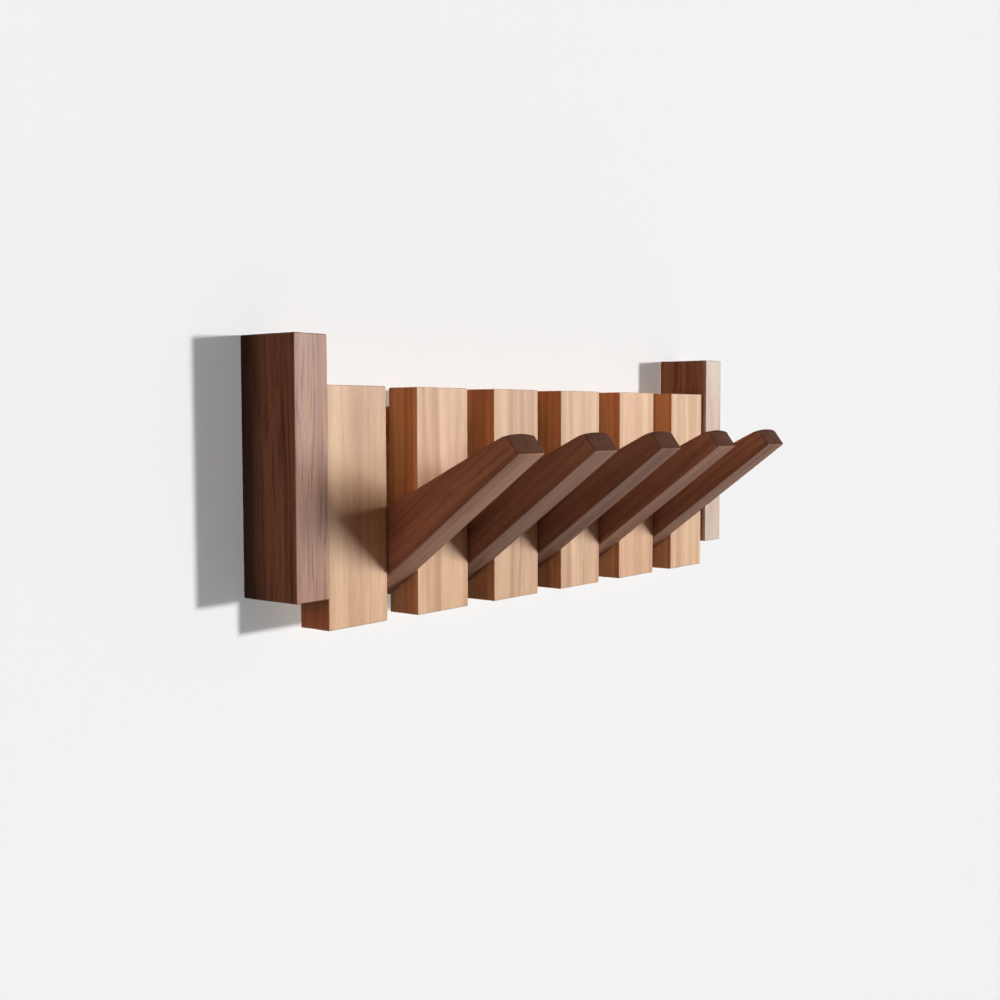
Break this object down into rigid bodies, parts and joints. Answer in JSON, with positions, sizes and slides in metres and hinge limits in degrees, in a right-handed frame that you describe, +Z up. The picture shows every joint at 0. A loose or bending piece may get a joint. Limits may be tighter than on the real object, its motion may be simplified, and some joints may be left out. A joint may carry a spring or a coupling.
{
  "type": "wall mounted fold down hook rack",
  "caption": "Wooden wall rack: light front blocks between dark end blocks on a back board, with dark wooden coat hooks that fold down out of the gaps on one rod.",
  "frame": {"origin": "on the wall, midway between the entry holes of the two hanger plates", "axes": "+X to the right along the wall, +Y into the wall, +Z up; the hooks fold down towards -Y"},
  "size_m": [0.414, 0.1186, 0.144],
  "materials": {
    "walnut_end_block": "oiled walnut, satin",
    "walnut_hook": "oiled walnut, satin",
    "beech_front_block": "oiled beech, satin",
    "beech_back_board": "oiled beech, satin",
    "beech_dowel": "raw beech",
    "steel_rod": "bright drawn steel",
    "nylon_washer": "natural nylon",
    "zinc_fixings": "zinc plated steel"
  },
  "bodies": {
    "rack": {"end_block_left": "walnut_end_block", "end_block_right": "walnut_end_block", "front_block_1": "beech_front_block", "front_block_2": "beech_front_block", "front_block_3": "beech_front_block", "front_block_4": "beech_front_block", "front_block_5": "beech_front_block", "front_block_6": "beech_front_block", "back_board": "beech_back_board", "pivot_rod": "steel_rod", "hook_washers_1": "nylon_washer", "hook_washers_2": "nylon_washer", "hook_washers_3": "nylon_washer", "hook_washers_4": "nylon_washer", "hook_washers_5": "nylon_washer", "block_screws": "zinc_fixings", "end_dowels": "beech_dowel", "hanger_plate_left": "zinc_fixings", "hanger_plate_right": "zinc_fixings", "hanger_screws": "zinc_fixings"},
    "hook_1": {"hook_1": "walnut_hook"},
    "hook_2": {"hook_2": "walnut_hook"},
    "hook_3": {"hook_3": "walnut_hook"},
    "hook_4": {"hook_4": "walnut_hook"},
    "hook_5": {"hook_5": "walnut_hook"}
  },
  "joints": [
    {"name": "hook_1_fold", "type": "hinge", "parent": "rack", "child": "hook_1", "pos_m": [-0.13, -0.0205, -0.078], "axis": [-1, 0, 0], "range_deg": [0, 53]},
    {"name": "hook_2_fold", "type": "hinge", "parent": "rack", "child": "hook_2", "pos_m": [-0.065, -0.0205, -0.078], "axis": [-1, 0, 0], "range_deg": [0, 53]},
    {"name": "hook_3_fold", "type": "hinge", "parent": "rack", "child": "hook_3", "pos_m": [0, -0.0205, -0.078], "axis": [-1, 0, 0], "range_deg": [0, 53]},
    {"name": "hook_4_fold", "type": "hinge", "parent": "rack", "child": "hook_4", "pos_m": [0.065, -0.0205, -0.078], "axis": [-1, 0, 0], "range_deg": [0, 53]},
    {"name": "hook_5_fold", "type": "hinge", "parent": "rack", "child": "hook_5", "pos_m": [0.13, -0.0205, -0.078], "axis": [-1, 0, 0], "range_deg": [0, 53]}
  ]
}
